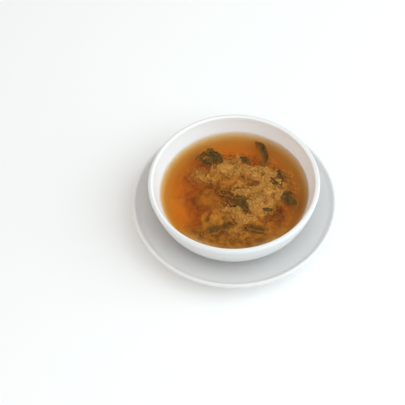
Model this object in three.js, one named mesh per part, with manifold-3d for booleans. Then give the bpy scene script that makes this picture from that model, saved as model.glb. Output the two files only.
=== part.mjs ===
// Miso soup in a white porcelain bowl on its saucer.
//
// Millimetres, +Z up. The origin is on the common axis of bowl and saucer, in the plane that the
// saucer's foot ring stands on. Pieces that touch keep CLEARANCE between them.

import * as THREE from "three";
import { mergeVertices } from "three/addons/utils/BufferGeometryUtils.js";
import Module from "manifold-3d";

const wasm = await Module();
wasm.setup();

// ---- driving dimensions ----

const SEGMENTS = 60; // faces round each turned piece
const CLEARANCE = 0.3; // between pieces that touch
const FLATNESS = 0.02; // how far a face may be off and still be joined to the next

// Saucer: a coupe plate with a flat well, one smooth rise and a thin rolled lip.
const SAUCER_RADIUS = 77.5;
const SAUCER_HEIGHT = 22;
const SAUCER_WALL = 3;
const SAUCER_WELL_TOP = 5.5;
const SAUCER_WELL_RADIUS = 34;
const SAUCER_LIP = 1.5; // radius of the rolled lip
const SAUCER_FOOT = { inner: 34.4, outer: 38, bevel: 0.6, draft: 0.1 };
// The curve of its rise: how far it runs on flat from the well, and how far in from the lip's
// centre and below it the curve's last bend and its end lie.
const SAUCER_RISE = { flat: 16, bend: { inward: 12, down: 6.5 }, end: { inward: 1.4, down: 0.1 } };
const SAUCER_LIP_ARC = { from: -60, to: 150 }; // in degrees

// Bowl: one curve from the lip to a low foot ring, in a wall that thickens below the lip.
const BOWL_RADIUS = 63.8;
const BOWL_RIM_TOP = 46.2;
const BOWL_WALL = 5;
const BOWL_LIP = 1.9; // radius of the rounded lip
const BOWL_FLARE = 10.5; // how far the wall leans out under the lip, in degrees
const THICKENED = 0.3; // share of the wall, from the lip, over which it reaches BOWL_WALL
// The bends of the outer wall's curve: how far in from the rim and below it they lie.
const BOWL_BENDS = [{ inward: 2.9, down: 17.7 }, { inward: 7.8, down: 36.4 }];
const BOWL_LIP_ARC = { from: 15, to: 165 }; // in degrees
const BOWL_FLOOR_TOP = 12.8;
const BOWL_FLOOR_UNDER = 8.8;
const BOWL_FOOT = { inner: 28, outer: 31.2, root: 33, height: 2.8, bevel: 0.6 };
const BOWL_FLOOR_RADIUS = BOWL_FOOT.root - 7; // of the flat inside the bowl
const WALL_CLEAR = 0.5; // the inner wall's points stop this far above the floor

// Broth: level below the rim, and how it creeps up the wall. knee is the share of its width and
// of its rise at which the creep turns steeper, and below is where it meets the wall's own points.
const BROTH_BELOW_RIM = 13;
const MENISCUS = { width: 2.2, rise: 0.5, knee: 0.3, below: 1 };

const BOWL_BASE = SAUCER_WELL_TOP + CLEARANCE;
const LEVEL = BOWL_RIM_TOP - BROTH_BELOW_RIM;

// Miso cloud: domed billows of settled paste, gathered in banks, with crumbs on them. long and
// wide are the half axes of the patch that a bank's billows are centred in, turn is in degrees,
// and top is how far they stand above the broth's level.
const CLOUD_DEPTH = 4.6;
const CLOUD_PITCH = 8;
const CLOUD_JITTER = 1.2;
const BILLOW = { radius: 6.3, spread: 1, seed: 11 };
const CRUMB = { radius: 1.8, spread: 0.4, reach: 3.4, sunk: 0.9, seed: 23 };
const DRUM_SIDES = 10; // of the room left in the broth for each billow
const CLOUD_BANKS = [
  { x: 3, y: 17, long: 20, wide: 7.5, turn: -4, top: 0.7 },
  { x: 28, y: 3, long: 12, wide: 15, turn: 0, top: 0.7 },
  { x: 14, y: -8, long: 11, wide: 8, turn: -20, top: 0.7 },
  { x: -19, y: 13, long: 10, wide: 4, turn: -8, top: 0.4 },
  { x: 5, y: -22, long: 15, wide: 7, turn: 0, top: 0.5 },
  { x: -2, y: -31, long: 20, wide: 10, turn: 0, top: 0.2 },
];

// Wakame: each leaf is a thin wavy blade. bend bows its midrib sideways, wave is the height of
// its ripples, and notch is how deep its ragged edge is cut. taper and blunt shape its two ends,
// and nicks and ripple are the waves of its edge and of its faces, in radians to half its length.
const LEAF = { thickness: 0.6, along: 10, across: 4, lift: 0.3, taper: 0.94, blunt: 0.6, nicks: 5.1 };
const RIPPLE = { along: 3.4, across: 2.2, skew: 0.7 };
const LEAVES = {
  back_left: { x: -18.5, y: 30.5, length: 22, width: 15, turn: -14, bend: 1.5, wave: 0.8, notch: 0.2 },
  back_right: { x: 21.5, y: 35.6, length: 25, width: 8.5, turn: -76, bend: 2.8, wave: 0.5, notch: 0.08 },
  back_small: { x: 9, y: 28.5, length: 9.5, width: 5.5, turn: -38, bend: 0.8, wave: 0.4, notch: 0.15 },
  mid_right: { x: 30, y: 7.6, length: 8.5, width: 5, turn: -48, bend: -0.8, wave: 0.4, notch: 0.12 },
  right: { x: 41.6, y: -8.6, length: 14, width: 10, turn: -62, bend: -1.6, wave: 0.6, notch: 0.14 },
  centre: { x: 3.8, y: -13, length: 17, width: 8.5, turn: -32, bend: 1.8, wave: 0.6, notch: 0.18 },
  front_bit: { x: 24.6, y: -18.2, length: 8, width: 3.8, turn: -12, bend: -0.6, wave: 0.35, notch: 0.1 },
};

// ---- materials ----

const porcelain = new THREE.MeshStandardMaterial({ color: 0xf2f1ee, roughness: 0.18, metalness: 0 });
const broth = new THREE.MeshStandardMaterial({ color: 0xb0621d, roughness: 0.08, metalness: 0 });
const misoPaste = new THREE.MeshStandardMaterial({ color: 0xb98040, roughness: 0.75, metalness: 0 });
const seaweed = new THREE.MeshStandardMaterial({ color: 0x3f3a1c, roughness: 0.4, metalness: 0 });

// ---- tools ----

// A closed geometry as a solid that can be joined and cut.
function solid(geometry) {
  const bare = geometry.clone();
  bare.deleteAttribute("normal");
  bare.deleteAttribute("uv");
  const merged = mergeVertices(bare, 1e-4);
  return new wasm.Manifold(
    new wasm.Mesh({
      numProp: 3,
      vertProperties: new Float32Array(merged.attributes.position.array),
      triVerts: new Uint32Array(merged.index.array),
    }),
  );
}

// A joined or cut solid without the edges that joining left across its flat faces.
function cleaned(body) {
  return body.asOriginal().simplify(FLATNESS);
}

// A solid as a named mesh.
function piece(name, body, material) {
  const { vertProperties, triVerts } = body.getMesh();
  const geometry = new THREE.BufferGeometry()
    .setAttribute("position", new THREE.BufferAttribute(vertProperties, 3))
    .setIndex(new THREE.BufferAttribute(triVerts, 1));
  geometry.computeVertexNormals();
  const mesh = new THREE.Mesh(geometry, material.clone());
  mesh.name = name;
  return mesh;
}

// A solid turned about Z. The profile holds [radius, height] pairs, runs from the axis to the
// axis, and keeps the material on its left.
function turned(profile) {
  const points = profile.map(([r, z]) => new THREE.Vector2(r, z));
  return solid(new THREE.LatheGeometry(points, SEGMENTS).rotateX(Math.PI / 2));
}

// Points on a curve of [radius, height] control points, moved sideways by what offset gives for
// each share of the curve: to the left of the way the curve runs if it is positive.
function sampled(controls, count, offset = () => 0) {
  const curve = new THREE.CubicBezierCurve(...controls.map(([r, z]) => new THREE.Vector2(r, z)));
  return Array.from({ length: count + 1 }, (_, i) => {
    const point = curve.getPoint(i / count);
    const along = curve.getTangent(i / count);
    const away = offset(i / count);
    return [point.x - along.y * away, point.y + along.x * away];
  });
}

// Points on an arc in the profile's plane, between two angles in degrees.
function arc(centreR, centreZ, radius, from, to, count) {
  return Array.from({ length: count + 1 }, (_, i) => {
    const angle = THREE.MathUtils.degToRad(THREE.MathUtils.lerp(from, to, i / count));
    return [centreR + radius * Math.cos(angle), centreZ + radius * Math.sin(angle)];
  });
}

// Repeatable draws between -1 and 1, by a linear congruential generator.
function draws(seed) {
  const [factor, step, span] = [1664525, 1013904223, 2 ** 32];
  let state = seed;
  return () => {
    state = (state * factor + step) % span;
    return (state / span) * 2 - 1;
  };
}

// ---- saucer ----

function makeSaucer() {
  const lipZ = SAUCER_HEIGHT - SAUCER_LIP;
  const lipR = SAUCER_RADIUS - SAUCER_LIP;
  const under = SAUCER_WELL_TOP - SAUCER_WALL;
  const { flat, bend, end } = SAUCER_RISE;
  const rise = [
    [SAUCER_WELL_RADIUS, SAUCER_WELL_TOP],
    [SAUCER_WELL_RADIUS + flat, SAUCER_WELL_TOP],
    [lipR - bend.inward, lipZ - bend.down],
    [lipR - end.inward, lipZ - end.down],
  ];
  const { inner, outer, bevel, draft } = SAUCER_FOOT;
  const underside = sampled(rise, 5, () => -SAUCER_WALL).filter(([r]) => r > outer + 2 * bevel);
  return turned([
    [0, under],
    [inner - bevel, under],
    [inner, bevel],
    [inner + bevel, 0],
    [outer - bevel, 0],
    [outer, bevel],
    [outer + bevel, under + draft],
    ...underside.slice(0, -1),
    ...arc(lipR, lipZ, SAUCER_LIP, SAUCER_LIP_ARC.from, SAUCER_LIP_ARC.to, 7),
    ...sampled(rise, 6).reverse().slice(1),
    [0, SAUCER_WELL_TOP],
  ]);
}

// ---- bowl ----

const lipCentre = [BOWL_RADIUS - BOWL_LIP, BOWL_RIM_TOP - BOWL_LIP];
const footTop = BOWL_BASE + BOWL_FOOT.height;

// The bowl's outer wall from the lip down to the foot.
const wallCurve = [
  arc(...lipCentre, BOWL_LIP, -BOWL_FLARE, 0, 1)[0],
  ...BOWL_BENDS.map(({ inward, down }) => [BOWL_RADIUS - inward, BOWL_RIM_TOP - down]),
  [BOWL_FOOT.root, footTop],
];

// How thick the wall is at a share of its curve.
function wallThickness(share) {
  const thickened = THREE.MathUtils.smoothstep(share, 0, THICKENED);
  return THREE.MathUtils.lerp(2 * BOWL_LIP, BOWL_WALL, thickened);
}

// The inner wall, from under the lip to where it meets the floor, kept clear by inset.
function innerWall(count, inset = 0) {
  const below = sampled(wallCurve, count, (share) => -wallThickness(share) - inset).slice(1);
  return below.filter(([, z]) => z > BOWL_FLOOR_TOP + inset + WALL_CLEAR);
}

function makeBowl() {
  const { inner, outer, bevel } = BOWL_FOOT;
  return turned([
    [0, BOWL_FLOOR_UNDER],
    [inner - 2 * bevel, BOWL_FLOOR_UNDER],
    [inner, BOWL_BASE + bevel],
    [inner + bevel, BOWL_BASE],
    [outer - bevel, BOWL_BASE],
    [outer, BOWL_BASE + bevel],
    ...sampled(wallCurve, 8).reverse(),
    ...arc(...lipCentre, BOWL_LIP, BOWL_LIP_ARC.from, BOWL_LIP_ARC.to, 4),
    ...innerWall(9),
    [BOWL_FLOOR_RADIUS, BOWL_FLOOR_TOP],
    [0, BOWL_FLOOR_TOP],
  ]);
}

// ---- broth, before it is cut round what floats in it ----

function makeBroth() {
  const { width, rise, knee, below } = MENISCUS;
  const wall = innerWall(9, CLEARANCE).filter(([, z]) => z < LEVEL - below);
  const above = innerWall(60, CLEARANCE).filter(([, z]) => z > LEVEL + rise);
  const edge = above[above.length - 1][0];
  return turned([
    [0, BOWL_FLOOR_TOP + CLEARANCE],
    [BOWL_FLOOR_RADIUS, BOWL_FLOOR_TOP + CLEARANCE],
    ...wall.reverse(),
    [edge, LEVEL + rise],
    [edge - knee * width, LEVEL + knee * rise],
    [edge - width, LEVEL],
    [0, LEVEL],
  ]);
}

// ---- miso cloud ----

// Whether a place lies in a bank.
function inBank(bank, x, y) {
  const turn = THREE.MathUtils.degToRad(bank.turn);
  const along = (x - bank.x) * Math.cos(turn) + (y - bank.y) * Math.sin(turn);
  const across = (y - bank.y) * Math.cos(turn) - (x - bank.x) * Math.sin(turn);
  return Math.hypot(along / bank.long, across / bank.wide) <= 1;
}

// Billows on a jittered hexagonal grid, wherever it falls in a bank.
function placeBillows() {
  const draw = draws(BILLOW.seed);
  const rowPitch = CLOUD_PITCH * Math.sqrt(0.75);
  const rows = Math.ceil(BOWL_RADIUS / rowPitch);
  const billows = [];
  for (let row = -rows; row <= rows; row++) {
    for (let column = -rows; column <= rows; column++) {
      const x = (column + (row % 2) / 2) * CLOUD_PITCH + CLOUD_JITTER * draw();
      const y = row * rowPitch + CLOUD_JITTER * draw();
      const radius = BILLOW.radius + BILLOW.spread * draw();
      const bank = CLOUD_BANKS.find((each) => inBank(each, x, y));
      if (bank) billows.push({ x, y, radius, top: bank.top });
    }
  }
  return billows;
}

// The billows and their crumbs joined, and cut off flat underneath.
function makeCloud(billows) {
  const draw = draws(CRUMB.seed);
  const bumps = [];
  for (const { x, y, radius, top } of billows) {
    const dome = new THREE.IcosahedronGeometry(radius, 1).rotateZ(Math.PI * draw());
    dome.scale(1, 1, (CLOUD_DEPTH + top) / radius).translate(x, y, LEVEL - CLOUD_DEPTH);
    const size = CRUMB.radius + CRUMB.spread * draw();
    const crumb = new THREE.IcosahedronGeometry(size, 0).rotateX(draw());
    const around = Math.PI * draw();
    const [crumbX, crumbY] = [CRUMB.reach * Math.cos(around), CRUMB.reach * Math.sin(around)];
    crumb.translate(x + crumbX, y + crumbY, LEVEL + top - CRUMB.sunk * size);
    bumps.push(solid(dome), solid(crumb));
  }
  const kept = new THREE.BoxGeometry(2 * BOWL_RADIUS, 2 * BOWL_RADIUS, 4 * CLOUD_DEPTH);
  kept.translate(0, 0, LEVEL + CLOUD_DEPTH);
  return wasm.Manifold.union(bumps).intersect(solid(kept));
}

// The room that the cloud takes up in the broth, open at the top: a drum round each billow.
function cloudRoom(billows) {
  const low = LEVEL - CLOUD_DEPTH - CLEARANCE;
  return wasm.Manifold.union(
    billows.map(({ x, y, radius }) => {
      const reach = (radius + CLEARANCE) / Math.cos(Math.PI / DRUM_SIDES);
      const drum = new THREE.CylinderGeometry(reach, reach, BOWL_RIM_TOP - low, DRUM_SIDES);
      return solid(drum.rotateX(Math.PI / 2).translate(x, y, (low + BOWL_RIM_TOP) / 2));
    }),
  );
}

// ---- wakame ----

// One blade as a closed grid: a top and a bottom face split alike, and the edge that joins
// them. With room it is the space the blade needs instead: wider by CLEARANCE, flat, and open
// upwards through the broth's surface.
function blade(leaf, room = false) {
  const { along, across, thickness, lift, taper, blunt, nicks } = LEAF;
  const grow = room ? 1.5 * CLEARANCE : 0;
  const turn = THREE.MathUtils.degToRad(leaf.turn);
  const phase = leaf.x + leaf.y;
  const lowest = LEVEL + lift - leaf.wave - thickness / 2;
  const positions = [];
  for (const side of [1, -1]) {
    for (let i = 0; i <= along; i++) {
      const u = (2 * i) / along - 1;
      const ragged = 1 - leaf.notch * (0.5 + 0.5 * Math.sin(nicks * u + phase));
      const half = (leaf.width / 2) * Math.pow(1 - taper * u * u, blunt) * ragged + grow;
      for (let j = 0; j <= across; j++) {
        const v = (2 * j) / across - 1;
        const x = u * (leaf.length / 2 + grow);
        const y = v * half + leaf.bend * (1 - u * u) - leaf.bend / 2;
        const ripple =
          Math.sin(RIPPLE.along * u + phase) * Math.cos(RIPPLE.across * v + RIPPLE.skew * phase);
        const open = side > 0 ? BOWL_RIM_TOP : lowest - CLEARANCE;
        const wavy = LEVEL + lift + leaf.wave * ripple + (side * thickness) / 2;
        positions.push(
          leaf.x + x * Math.cos(turn) - y * Math.sin(turn),
          leaf.y + x * Math.sin(turn) + y * Math.cos(turn),
          room ? open : wavy,
        );
      }
    }
  }
  const layer = (along + 1) * (across + 1);
  const at = (i, j) => i * (across + 1) + j;
  const index = [];
  const quad = (a, b, c, d) => index.push(a, b, c, a, c, d);
  for (let i = 0; i < along; i++) {
    for (let j = 0; j < across; j++) {
      const [a, b, c, d] = [at(i, j), at(i + 1, j), at(i + 1, j + 1), at(i, j + 1)];
      quad(a, b, c, d);
      index.push(layer + a, layer + c, layer + b, layer + a, layer + d, layer + c);
    }
    quad(at(i, 0), layer + at(i, 0), layer + at(i + 1, 0), at(i + 1, 0));
    quad(at(i + 1, across), layer + at(i + 1, across), layer + at(i, across), at(i, across));
  }
  for (let j = 0; j < across; j++) {
    quad(at(0, j + 1), layer + at(0, j + 1), layer + at(0, j), at(0, j));
    quad(at(along, j), layer + at(along, j), layer + at(along, j + 1), at(along, j + 1));
  }
  const geometry = new THREE.BufferGeometry()
    .setAttribute("position", new THREE.Float32BufferAttribute(positions, 3))
    .setIndex(index);
  return solid(geometry);
}

// ---- the whole ----

const billows = placeBillows();
const leafRooms = cleaned(
  wasm.Manifold.union(Object.values(LEAVES).map((leaf) => blade(leaf, true))),
);
const cloud = cleaned(makeCloud(billows).subtract(leafRooms));
const soup = cleaned(makeBroth().subtract(cloudRoom(billows)).subtract(leafRooms));

const part = new THREE.Group();
part.add(piece("saucer", makeSaucer(), porcelain));
part.add(piece("bowl", makeBowl(), porcelain));
part.add(piece("soup", soup, broth));
part.add(piece("miso_cloud", cloud, misoPaste));
for (const [name, leaf] of Object.entries(LEAVES)) {
  part.add(piece(`wakame_${name}`, blade(leaf), seaweed));
}

export default part;
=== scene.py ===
"""Miso soup in a white porcelain bowl on its saucer, in a plain white studio.

Metres, +Z up. Bowl and saucer share the Z axis, and the saucer's foot stands on z = 0. Sizes of
pieces are given in millimetres and brought to metres by MM where they are used.
"""

import math

import bpy
import numpy as np
from mathutils import Matrix, Vector


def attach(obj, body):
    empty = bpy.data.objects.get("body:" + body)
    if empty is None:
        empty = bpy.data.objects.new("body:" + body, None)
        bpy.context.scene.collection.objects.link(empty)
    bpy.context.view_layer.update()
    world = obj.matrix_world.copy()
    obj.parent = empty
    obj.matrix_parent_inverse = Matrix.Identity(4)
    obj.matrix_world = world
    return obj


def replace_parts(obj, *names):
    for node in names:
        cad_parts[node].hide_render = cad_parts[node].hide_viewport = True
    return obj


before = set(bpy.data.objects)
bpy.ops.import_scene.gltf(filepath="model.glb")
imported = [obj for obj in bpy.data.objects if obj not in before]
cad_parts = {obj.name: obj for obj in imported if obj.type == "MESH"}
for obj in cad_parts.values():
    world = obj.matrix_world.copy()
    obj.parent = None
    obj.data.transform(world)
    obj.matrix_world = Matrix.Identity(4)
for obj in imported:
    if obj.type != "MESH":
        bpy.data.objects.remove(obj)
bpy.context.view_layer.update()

MM = 0.001


# ---- Camera, floor and light ----
# A table-top shot from the front, looking down steeply at the bowl on a seamless white floor.
# One wide cool light stands to the right and a weaker one over the camera's right shoulder. The
# room around is an even grey that brightens to a warm white wall at the left.

CAMERA_PLACE = Vector((0.0, -0.44031, 0.64280))
CAMERA_AIM = Vector((-0.02400, -0.00342, 0.022))
CAMERA_ROLL = math.radians(-3.361)
CAMERA_LENS = 88.889
SENSOR_WIDTH = 36.0

LAMPS = {
    # place, size across in metres, watts, colour
    "key": ((1.25, -0.15, 0.70), 1.9, 18.5, (0.80, 0.95, 1.0)),
    "overhead": ((0.4, -0.5, 1.3), 1.5, 8.2, (0.88, 0.94, 1.0)),
}
LAMP_AIM = Vector((0, 0, 0.02))
ROOM_LEFT = (1.06, 0.98, 0.86, 1)
ROOM_ELSEWHERE = (0.455, 0.450, 0.440, 1)
PAPER_WHITE = (0.96, 0.96, 0.96, 1)
FLOOR_HALF = 3.0

scene = bpy.context.scene
scene.view_settings.view_transform = "Standard"


def put(tree, kind, values=None, **settings):
    """A new node with its settings, and a value or a link for each input named or numbered."""
    made = tree.nodes.new(kind)
    for name, value in settings.items():
        setattr(made, name, value)
    for name, value in (values or {}).items():
        if isinstance(value, bpy.types.NodeSocket):
            tree.links.new(value, made.inputs[name])
        else:
            made.inputs[name].default_value = value
    return made


def new_material(name):
    """An empty material and its tree."""
    material = bpy.data.materials.new(name)
    material.use_nodes = True
    material.node_tree.nodes.clear()
    return material, material.node_tree


def ranged(tree, value, low, high, start=0.0, end=1.0):
    """A value between low and high, brought to between start and end and held there."""
    return put(
        tree, "ShaderNodeMapRange",
        {"Value": value, "From Min": low, "From Max": high, "To Min": start, "To Max": end},
    ).outputs[0]


def mixed(tree, share, one, other, **settings):
    """The colour that lies a share of the way from one to the other."""
    return put(
        tree, "ShaderNodeMix", {0: share, 6: one, 7: other}, data_type="RGBA", **settings
    ).outputs[2]


def mesh_object(name, points, faces, edges=()):
    """An object whose mesh holds its place. The points are in metres."""
    mesh = bpy.data.meshes.new(name)
    mesh.from_pydata([tuple(point) for point in points], list(edges), list(faces))
    mesh.update()
    made = bpy.data.objects.new(name, mesh)
    scene.collection.objects.link(made)
    return made


def stand_at(thing, place, aim, roll=0.0):
    """Puts a camera or a lamp somewhere, looking at a point."""
    turn = (aim - place).to_track_quat("-Z", "Y").to_matrix().to_4x4()
    thing.matrix_world = Matrix.Translation(place) @ turn @ Matrix.Rotation(roll, 4, "Z")
    scene.collection.objects.link(thing)


lens = bpy.data.cameras.new("camera")
lens.lens = CAMERA_LENS
lens.sensor_width = SENSOR_WIDTH
camera = bpy.data.objects.new("camera", lens)
stand_at(camera, CAMERA_PLACE, CAMERA_AIM, CAMERA_ROLL)
scene.camera = camera

for name, (place, size, watts, colour) in LAMPS.items():
    lamp = bpy.data.lights.new(name, "AREA")
    lamp.shape = "SQUARE"
    lamp.size = size
    lamp.energy = watts
    lamp.color = colour
    stand_at(bpy.data.objects.new(name, lamp), Vector(place), LAMP_AIM)

room = bpy.data.worlds.new("room")
room.use_nodes = True
tree = room.node_tree
way = put(tree, "ShaderNodeTexCoord").outputs["Generated"]
side = put(tree, "ShaderNodeSeparateXYZ", {0: way}).outputs["X"]
light = mixed(tree, ranged(tree, side, 0.0, -1.0), ROOM_ELSEWHERE, ROOM_LEFT)
tree.links.new(light, tree.nodes["Background"].inputs["Color"])
scene.world = room

floor = mesh_object(
    "floor",
    [(-FLOOR_HALF, -FLOOR_HALF, 0), (FLOOR_HALF, -FLOOR_HALF, 0),
     (FLOOR_HALF, FLOOR_HALF, 0), (-FLOOR_HALF, FLOOR_HALF, 0)],
    [(0, 1, 2, 3)],
)
paper, tree = new_material("white paper")
surface = put(tree, "ShaderNodeBsdfDiffuse", {"Color": PAPER_WHITE})
put(tree, "ShaderNodeOutputMaterial", {"Surface": surface.outputs[0]})
floor.data.materials.append(paper)


# ---- Saucer ----
# A white porcelain coupe saucer, jiggered in one piece: a flat well, one smooth rise and a thin
# rolled lip. Clear glaze covers all of it but the foot ring, which is wiped bare for the kiln.

SAUCER_RADIUS = 77.5
SAUCER_HEIGHT = 22.0
SAUCER_WALL = 3.0
SAUCER_WELL_TOP = 5.5
SAUCER_WELL_RADIUS = 34.0
SAUCER_LIP = 1.5
SAUCER_LIP_TURN = (-60, 150)
# The rise leaves the well level for so long, comes up to the lip from so far in and below its
# centre, and ends so far in and below it.
RISE_LEAVES = 16
RISE_COMES = (12, 6.5)
RISE_ENDS = (1.4, 0.1)
SAUCER_FOOT_INNER = 34.4
SAUCER_FOOT_OUTER = 38.0
SAUCER_FOOT_ROOT_UP = 0.1
FOOT_BEVEL = 0.6
STEPS_ROUND = 192
STEPS_UP_SAUCER = 16
STEPS_OVER_LIP = 12
CORNER_CUT = 0.25
SEAM_GAP = 1e-6


def along_curve(controls, count, offset=lambda t: 0.0):
    """Points on a cubic of [radius, height] controls, moved to its left by offset of t."""
    a, b, c, d = np.array(controls, float)
    t = np.linspace(0, 1, count + 1)[:, None]
    place = (1 - t) ** 3 * a + 3 * t * (1 - t) ** 2 * b + 3 * t * t * (1 - t) * c + t ** 3 * d
    way = (1 - t) ** 2 * (b - a) + 2 * t * (1 - t) * (c - b) + t * t * (d - c)
    way /= np.linalg.norm(way, axis=1)[:, None]
    left = np.stack([-way[:, 1], way[:, 0]], axis=1)
    return [list(point) for point in place + offset(t) * left]


def along_arc(centre, radius, start, end, count):
    """Points on an arc of a profile, between two angles in degrees."""
    turns = np.radians(np.linspace(start, end, count + 1))
    return [[centre[0] + radius * math.cos(a), centre[1] + radius * math.sin(a)] for a in turns]


def eased(template, rounds=2):
    """A profile with its corners cut, as a glaze rounds them. Its ends stay on the axis."""
    points = np.array(template, float)
    for _ in range(rounds):
        early = (1 - CORNER_CUT) * points[:-1] + CORNER_CUT * points[1:]
        late = CORNER_CUT * points[:-1] + (1 - CORNER_CUT) * points[1:]
        between = np.stack([early, late], axis=1).reshape(-1, 2)[1:-1]
        points = np.vstack([points[:1], between, points[-1:]])
    return points


def reckon(tree, operation, *values):
    """What an operation makes of its values or links."""
    return put(tree, "ShaderNodeMath", dict(enumerate(values)), operation=operation).outputs[0]


def wheel_tree():
    """Geometry nodes that turn a template, drawn in the XZ plane, once about Z."""
    tree = bpy.data.node_groups.new("turned on the wheel", "GeometryNodeTree")
    sockets = tree.interface
    sockets.new_socket("Template", in_out="INPUT", socket_type="NodeSocketGeometry")
    sockets.new_socket("Steps Round", in_out="INPUT", socket_type="NodeSocketInt")
    sockets.new_socket("Finish", in_out="INPUT", socket_type="NodeSocketMaterial")
    sockets.new_socket("Turned", in_out="OUTPUT", socket_type="NodeSocketGeometry")
    given = put(tree, "NodeGroupInput").outputs
    count = put(tree, "GeometryNodeAttributeDomainSize", {"Geometry": given["Template"]})
    ring = reckon(tree, "ADD", given["Steps Round"], 1.0)
    sheet = put(
        tree, "GeometryNodeMeshGrid",
        {"Vertices X": count.outputs["Point Count"], "Vertices Y": ring},
    )
    index = put(tree, "GeometryNodeInputIndex").outputs[0]
    # Half a place is added, so that rounding never lands in the row before.
    middle = reckon(tree, "ADD", index, 0.5)
    row = reckon(tree, "FLOOR", reckon(tree, "DIVIDE", middle, ring))
    column = reckon(tree, "SUBTRACT", index, reckon(tree, "MULTIPLY", row, ring))
    part = reckon(tree, "DIVIDE", column, given["Steps Round"])
    angle = reckon(tree, "MULTIPLY", part, math.tau)
    drawn = put(
        tree, "GeometryNodeSampleIndex",
        {"Geometry": given["Template"], "Index": row}, data_type="FLOAT_VECTOR",
    )
    place = put(tree, "GeometryNodeInputPosition")
    tree.links.new(place.outputs[0], drawn.inputs["Value"])
    turned = put(
        tree, "ShaderNodeVectorRotate",
        {"Vector": drawn.outputs[0], "Angle": angle}, rotation_type="Z_AXIS",
    )
    moved = put(
        tree, "GeometryNodeSetPosition",
        {"Geometry": sheet.outputs["Mesh"], "Position": turned.outputs[0]},
    )
    closed = put(
        tree, "GeometryNodeMergeByDistance", {"Geometry": moved.outputs[0], "Distance": SEAM_GAP}
    )
    outward = put(tree, "GeometryNodeFlipFaces", {"Mesh": closed.outputs[0]})
    rounded = put(tree, "GeometryNodeSetShadeSmooth", {"Geometry": outward.outputs[0]})
    real = put(tree, "GeometryNodeRealizeInstances", {"Geometry": rounded.outputs[0]})
    dressed = put(
        tree, "GeometryNodeSetMaterial",
        {"Geometry": real.outputs[0], "Material": given["Finish"]},
    )
    put(tree, "NodeGroupOutput", {"Turned": dressed.outputs[0]})
    return tree


def grown(source, tree, inputs):
    """The plain mesh object that a geometry nodes tree makes of a source object."""
    modifier = source.modifiers.new("grow", "NODES")
    modifier.node_group = tree
    for item in tree.interface.items_tree:
        if item.in_out == "INPUT" and item.name in inputs:
            modifier[item.identifier] = inputs[item.name]
    source.update_tag()
    bpy.context.view_layer.update()
    evaluated = source.evaluated_get(bpy.context.evaluated_depsgraph_get())
    mesh = bpy.data.meshes.new_from_object(evaluated)
    name = source.name
    bpy.data.objects.remove(source)
    mesh.name = name
    made = bpy.data.objects.new(name, mesh)
    scene.collection.objects.link(made)
    return made


wheel = wheel_tree()


def jiggered(name, template, finish):
    """A piece turned from a template that runs from the axis, under it, round to the axis."""
    points = [(r * MM, 0.0, z * MM) for r, z in eased(template)]
    edges = [(i, i + 1) for i in range(len(points) - 1)]
    drawn = mesh_object(name, points, [], edges)
    return grown(drawn, wheel, {"Steps Round": STEPS_ROUND, "Finish": finish})


SAUCER_GLAZE = (0.795, 0.780, 0.768, 1)
BISQUE = (0.62, 0.59, 0.54, 1)
# Where a surface turns from the outside's white to the inside's painted lighter white, by how much
# it faces outwards, and the heights between which a bowl's low painted shade passes to the
# painted light above it.
PAINTED_LIGHT_TURNS_IN = (0.1, -0.6)
PAINTED_SHADE_HEIGHTS = (24.0, 31.7)
# Faint clouds in the glaze, wipe marks in its gloss, and a fine ripple: patterns to the metre.
CLOUDS_SCALE = 28.0
CLOUDS_SHADE = 0.975
WIPES_SCALE = 30.0
WIPES_RANGE = (0.2, 0.8)
RIPPLE_SCALE = 80.0
RIPPLE_DEPTH = 0.05
RIPPLE_STRENGTH = 0.3
GLAZE_ROUGH = (0.32, 0.42)
GLAZE_IOR = 1.5
BISQUE_ROUGH = 0.75
GLAZE_STOPS = 0.5
GLAZE_EDGE = 0.2


def noise(tree, place, scale, detail, **more):
    """A cloudy pattern, its scale to the metre."""
    values = {"Vector": place, "Scale": scale, "Detail": detail, **more}
    return put(tree, "ShaderNodeTexNoise", values).outputs[0]


def bumped(tree, pattern, strength, depth):
    """The facing of a surface that a pattern raises by a depth in mm."""
    values = {"Height": pattern, "Strength": strength, "Distance": depth * MM}
    return put(tree, "ShaderNodeBump", values).outputs[0]


def painted_white_within(tree, height, low, high):
    """Inside white at a height: low painted shade passes to painted light between two heights."""
    return mixed(tree, ranged(tree, height, *(at * MM for at in PAINTED_SHADE_HEIGHTS)), low, high)


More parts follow.
